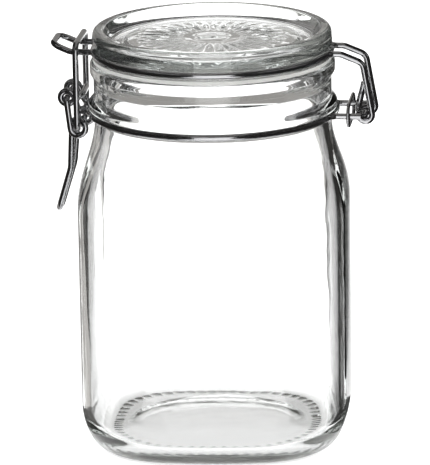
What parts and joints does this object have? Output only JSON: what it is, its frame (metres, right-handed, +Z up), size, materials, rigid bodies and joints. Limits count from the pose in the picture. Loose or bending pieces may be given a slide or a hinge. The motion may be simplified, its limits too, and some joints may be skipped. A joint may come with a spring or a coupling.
{
  "type": "clip-top jar",
  "caption": "Empty square glass jar with a round neck, a glass lid on a rubber ring, a wire hinge and a sprung wire latch.",
  "frame": {"origin": "middle of the base, on the surface that the jar stands on", "axes": "+Z up; the body's flat sides face +-X and +-Y; the hinge is 4 degrees from +X towards -Y, the latch opposite"},
  "size_m": [0.1292, 0.1084, 0.1665],
  "materials": {
    "glass": "clear pressed glass with faint waves",
    "seal": "pale translucent rubber",
    "wire": "bright plated steel wire"
  },
  "bodies": {
    "body": {"jar": "glass", "neck_wire": "wire", "tension_ring": "wire"},
    "lid": {"lid": "glass", "gasket": "seal", "lid_wire": "wire"},
    "lever": {"lever": "wire"},
    "link": {"link": "wire"}
  },
  "joints": [
    {"name": "lid_hinge", "type": "hinge", "parent": "body", "child": "lid", "pos_m": [0.06105, -0.00427, 0.1336], "axis": [0.0698, 0.9976, 0], "range_deg": [0, 110]},
    {"name": "lever_hinge", "type": "hinge", "parent": "body", "child": "lever", "pos_m": [-0.05686, 0.00398, 0.1391], "axis": [0.0698, 0.9976, 0], "range_deg": [0, 135]},
    {"name": "link_hinge", "type": "hinge", "parent": "lever", "child": "link", "pos_m": [-0.05247, 0.00367, 0.1273], "axis": [0.0698, 0.9976, 0], "range_deg": [-105, 0]}
  ],
  "couplings": [
    {"joint": "link_hinge", "follows": "lever_hinge", "ratio": -0.74}
  ]
}
